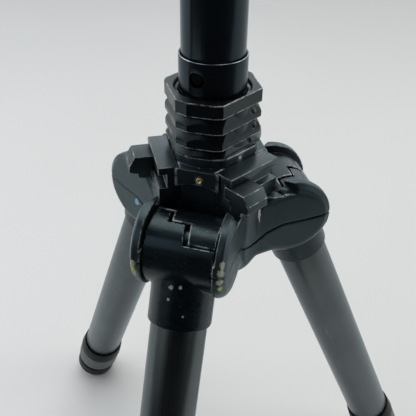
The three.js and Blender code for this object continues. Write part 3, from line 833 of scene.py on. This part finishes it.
def nut_solid(x, y, z):
    r = np.hypot(x, y)
    plan = polygon(x, y, NUT_PLAN)
    tiers = smax(plan, polygon(plan, z, NUT_TIERS), 0.1)
    core = np.maximum(r - NUT_CORE_R, span(z, NUT_BOTTOM, NUT_TOP))
    return np.minimum(smax(tiers, polygon(r, z, NUT_ENVELOPE), 0.2), core)


def nut_field(x, y, z):
    """The nut with its bore and its three small pockets."""
    body = smax(nut_solid(x, y, z), NUT_BORE_R - np.hypot(x, y), 0.4)
    for cx, cy, cz in NOTCHES:
        pocket = np.sqrt((x - cx) ** 2 + (y - cy) ** 2 + 0.8 * (z - cz) ** 2) - POCKET_R
        body = np.maximum(body, -pocket)
    return body


nut_mesh = field_mesh("lock_nut", nut_field, (-21, -21.5, 250), (21, 21.5, 275), 0.34, 0.5, nut_solid)
piece("lock_nut", nut_mesh, FINISHES["nut"], "lock_nut", ["column_lock_nut"])
COLLET_INNER, COLLET_OUTER, COLLET_BOTTOM, COLLET_TOP = 14.3, 15.8, 226.3, 273.3
SLIT_AZIMUTH, SLIT_HALF, SLIT_BOTTOM = 74.3, 0.6, 236


def collet_field(x, y, z):
    r = np.hypot(x, y)
    u, v = local(x, y, SLIT_AZIMUTH)
    wall = both(span(r, COLLET_INNER, COLLET_OUTER), span(z, COLLET_BOTTOM, COLLET_TOP), 0.3)
    slit = np.maximum(np.maximum(np.abs(v) - SLIT_HALF, -u), SLIT_BOTTOM - z)
    return smax(wall, -slit, 0.2)


collet_mesh = field_mesh("collet", collet_field, (-16, -16, 226), (16, 16, 274), 0.5)
piece("collet", collet_mesh, FINISHES["collet"], "collet", ["column_collet"])

SET_AZIMUTH, SET_Z, SET_R = -117.6, 281.4, 3.2


def with_hole(mesh, radius):
    """The mesh with a round hole cut through its wall at the set screw."""
    host = bpy.data.objects.new("host", mesh)
    drill_mesh = lathe("drill", [(0, 9), (radius, 9), (radius, 20), (0, 20)], 40, 0)
    turn = Matrix.Rotation(math.radians(SET_AZIMUTH), 4, "Z") @ Matrix.Rotation(math.pi / 2, 4, "Y")
    drill_mesh.transform(Matrix.Translation((0, 0, SET_Z * MM)) @ turn)
    drill = bpy.data.objects.new("drill", drill_mesh)
    for obj in (host, drill):
        bpy.context.scene.collection.objects.link(obj)
    modifier = host.modifiers.new("hole", "BOOLEAN")
    modifier.object, modifier.operation, modifier.solver = drill, "DIFFERENCE", "EXACT"
    bevel = host.modifiers.new("lip", "BEVEL")
    bevel.width, bevel.segments, bevel.limit_method = 0.25 * MM, 2, "ANGLE"
    bevel.angle_limit = math.radians(50)
    bpy.context.view_layer.update()
    graph = bpy.context.evaluated_depsgraph_get()
    cut = bpy.data.meshes.new_from_object(host.evaluated_get(graph))
    cut.name = mesh.name
    for obj in (host, drill):
        bpy.data.objects.remove(obj)
    cut.materials.clear()
    finish_mesh(cut)
    return cut


lower_tube = with_hole(lathe("column_lower", tube_wall(13.3, 14, 186, 288.6), 128, 0.3), SET_R)
upper_tube = with_hole(lathe("column_upper", tube_wall(11.5, 13, 270, 362), 128, 0.3), SET_R)
piece("column_lower", lower_tube, FINISHES["column"], "column", ["column_lower_tube"])
piece("column_upper", upper_tube, FINISHES["column"], "column", ["column_upper_tube"])
END_CAP = [(0, 182.7), (13, 182.7), (14, 183.7), (14, 185.7), (13.0, 185.7), (13.0, 193.7), (0, 193.7)]
piece("end_cap", lathe("end_cap", END_CAP), FINISHES["black_plastic"], "column",
      ["column_end_cap"])
PLATFORM = [(5.1, 350), (11.2, 350), (11.2, 362.3), (15, 362.3), (18.6, 365), (18.6, 366),
            (20, 366.4), (20, 370), (5.1, 370)]
piece("platform", lathe("platform", PLATFORM, 128, 0.5), FINISHES["casting"], "column",
      ["head_platform"])
PAD = ([(5.1, 370.3), (19.2, 370.3), (19.2, 371.8)]
       + [p for r in (16.6, 13.4, 10.2) for p in ((r + 0.4, 371.8), (r, 371.2), (r - 0.4, 371.8))]
       + [(5.1, 371.8)])
piece("pad", lathe("pad", PAD, 128, 0.15), FINISHES["pad_rubber"], "column", ["platform_pad"])


def thread(name, radius, depth, pitch, low, high, taper, chamfer=0.9):
    """A screw thread as one closed skin: rings whose radius follows the helix."""
    sides, rows_per_turn = 64, 14
    rows = int((high - low) / pitch * rows_per_turn)
    vertices, faces = [], []
    for i in range(rows + 1):
        z = low + (high - low) * i / rows
        ease = min(1, max(0, (high - z) / taper))
        for j in range(sides):
            a = 2 * math.pi * j / sides
            phase = (z / pitch - j / sides) % 1
            tooth = min(1, max(0, 1.6 - 4 * abs(phase - 0.5)))
            r = radius - depth * (1 - tooth) - (1 - ease) * chamfer
            vertices.append((r * math.cos(a), r * math.sin(a), z))
    for i in range(rows):
        for j in range(sides):
            k = (j + 1) % sides
            faces.append([i * sides + j, i * sides + k, (i + 1) * sides + k, (i + 1) * sides + j])
    faces.append(list(range(sides))[::-1])
    faces.append([rows * sides + j for j in range(sides)])
    mesh = bpy.data.meshes.new(name)
    mesh.from_pydata([tuple(c * MM for c in v) for v in vertices], [], faces)
    attribute(mesh, "edge", np.zeros(len(vertices)))
    attribute(mesh, "hollow", np.zeros(len(vertices)))
    finish_mesh(mesh, 60)
    return mesh


stud_mesh = thread("stud", 4.7, 0.75, pitch=1.587, low=350, high=381.3, taper=1.2)
piece("stud", stud_mesh, FINISHES["stud"], "column", ["camera_stud"])

# Nodes carried over from the CAD as they are, with a finish of their own.
hidden = [f"{part}_{leg}" for leg in LEGS for part in ("hinge_pin", "hub_screw", "selector_spring")]
for name in ["column_set_screw"] + hidden:
    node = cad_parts[name]
    node.data.materials.clear()
    node.data.materials.append(FINISHES["steel" if name in hidden else "screw"])
RING = [(0.45, 19), (1.3, 19), (1.3, 22.6), (0.95, 22.9), (0.45, 22.4)]
ring_mesh = lathe("pin_ring", RING, 40, 0.1)
for leg, azimuth in LEGS.items():
    turn = Matrix.Rotation(math.radians(azimuth), 4, "Z") @ Matrix.Translation((0, PIN_V * MM, PIN_Z * MM))
    piece(f"pin_ring_{leg}", ring_mesh, FINISHES["brass"], "hub", [f"hub_pin_{leg}"],
          turn @ Matrix.Rotation(math.pi / 2, 4, "Y"))

# ---- camera, floor and light ------------------------------------------------------------------
# Lengths here are metres and angles radians; only the lens and its sensor are in millimetres.
CAMERA_PLACE, CAMERA_LENS = (0, -0.23354, 0.3778), 53.3614
PITCH, YAW, ROLL = 0.614, -0.005, 0.016
forward = Vector((math.sin(YAW) * math.cos(PITCH), math.cos(YAW) * math.cos(PITCH), -math.sin(PITCH)))
level = Vector((math.cos(YAW), -math.sin(YAW), 0))
up = level.cross(forward)
right = level * math.cos(ROLL) + up * math.sin(ROLL)
up = up * math.cos(ROLL) - level * math.sin(ROLL)
camera_data = bpy.data.cameras.new("camera")
camera_data.sensor_width = 36
camera_data.lens = CAMERA_LENS
camera_data.clip_start = 0.01
camera = bpy.data.objects.new("camera", camera_data)
bpy.context.scene.collection.objects.link(camera)
axes = Matrix((right, up, -forward)).transposed().to_4x4()
camera.matrix_world = Matrix.Translation(CAMERA_PLACE) @ axes
bpy.context.scene.camera = camera


def staged(name, bm, shader):
    """One object of the stage, with its own finish."""
    mesh = bpy.data.meshes.new(name)
    bm.to_mesh(mesh)
    bm.free()
    mesh.materials.append(shader.material)
    obj = bpy.data.objects.new(name, mesh)
    bpy.context.scene.collection.objects.link(obj)
    return obj


FLOOR_R, WALL_R, SHADE_SHEET_Z = 8.5, 9, 0.003
floor_bm = bmesh.new()
bmesh.ops.create_circle(floor_bm, cap_ends=True, segments=96, radius=FLOOR_R)
card = Shader("floor_card", False)
card.out(card.mix(card.ramp(card.noise(2.2, 2), 0.3, 0.7), (0.7, 0.695, 0.68), (0.72, 0.715, 0.7)), 0.75)
staged("floor", floor_bm, card)

# A dark sheet in front of the tripod, seen only in reflections: painted shade in the gloss, in place of the
# dark room behind the camera.
SHADE_SHEET = [(-1.6, -0.21), (-0.06, -0.2), (-0.05, -0.12), (0.03, -0.12), (0.05, -0.2), (0.13, -0.27),
         (1.6, -0.27), (6, -1.6), (6, -6), (-6, -6), (-6, -1.6)]
shade_sheet_bm = bmesh.new()
shade_sheet_bm.faces.new([shade_sheet_bm.verts.new((x, y, SHADE_SHEET_Z)) for x, y in SHADE_SHEET])
# The sheet's near-black mottle is painted shade for reflections, not the colour of a real cloth.
shade_sheet_paint = Shader("painted_shade_sheet", False)
shade_sheet_paint.out(shade_sheet_paint.mix(shade_sheet_paint.noise(40), (0.01, 0.011, 0.013), (0.02, 0.022, 0.025)), 0.9)
shade_sheet = staged("painted_shade_sheet", shade_sheet_bm, shade_sheet_paint)
shade_sheet.visible_camera = shade_sheet.visible_diffuse = shade_sheet.visible_shadow = False

# A pale room wall all round, seen by the camera only, so that no view looks into the dark.
wall_bm = bmesh.new()
bmesh.ops.create_uvsphere(wall_bm, u_segments=48, v_segments=24, radius=WALL_R)
pale = Shader("room_wall", False)
pale.out(pale.mix(pale.noise(0.3), (0.02, 0.02, 0.02), (0.03, 0.03, 0.03)), 1.0)
pale.surface.inputs["Emission Color"].default_value = (0.93, 0.95, 0.95, 1)
pale.surface.inputs["Emission Strength"].default_value = 0.36
wall = staged("room_wall", wall_bm, pale)
wall.visible_diffuse = wall.visible_glossy = wall.visible_shadow = wall.visible_transmission = False


def area_light(name, place, target, size, power, colour=(1, 1, 1)):
    data = bpy.data.lights.new(name, "AREA")
    data.shape, data.size, data.size_y = "RECTANGLE", size[0], size[1]
    data.energy, data.color = power, colour
    obj = bpy.data.objects.new(name, data)
    bpy.context.scene.collection.objects.link(obj)
    aim = (Vector(target) - Vector(place)).to_track_quat("-Z", "Y")
    obj.matrix_world = Matrix.Translation(place) @ aim.to_matrix().to_4x4()


area_light("overhead", (0.1, 0.3, 1.5), (0, 0.1, 0), (1.0, 1.0), 9)
area_light("left_window", (-1.2, 0.25, 0.8), (0, 0, 0.2), (0.9, 1.1), 6, (0.93, 0.97, 1))
area_light("right_wall", (1.3, 0.2, 0.7), (0, 0, 0.2), (0.9, 1.0), 4.1)
area_light("front_window", (-0.75, -0.85, 1.15), (0, 0, 0.2), (0.45, 0.7), 0.85, (0.72, 0.85, 1))

# The room: bright behind and beside the tripod, dark behind the camera.
world = bpy.data.worlds.new("room")
bpy.context.scene.world = world
world.use_nodes = True
room = world.node_tree
background = room.nodes["Background"]


def room_node(kind, links, **settings):
    made = room.nodes.new(kind)
    for key, value in settings.items():
        setattr(made, key, value)
    for socket, value in links.items():
        if isinstance(value, bpy.types.NodeSocket):
            room.links.new(value, made.inputs[socket])
        else:
            made.inputs[socket].default_value = value
    return made


# Map range inputs are 0: value, 1 and 2: from, 3 and 4: to.
towards = room_node("ShaderNodeSeparateXYZ", {0: room.nodes.new("ShaderNodeTexCoord").outputs["Generated"]})
behind = room_node("ShaderNodeMapRange", {0: towards.outputs["Y"], 1: -0.1, 2: 0.75, 3: 0.006, 4: 1.25},
                   interpolation_type="SMOOTHSTEP")
sideways = room_node("ShaderNodeMath", {0: towards.outputs["X"]}, operation="ABSOLUTE")
beside = room_node("ShaderNodeMapRange", {0: sideways.outputs[0], 1: 0.5, 2: 0.95, 3: 0.006, 4: 0.8},
                   interpolation_type="SMOOTHSTEP")
brighter = room_node("ShaderNodeMath", {0: behind.outputs[0], 1: beside.outputs[0]}, operation="MAXIMUM")
room.links.new(brighter.outputs[0], background.inputs["Strength"])
background.inputs["Color"].default_value = (0.9, 0.94, 0.97, 1)
bpy.context.scene.view_settings.view_transform = "Standard"
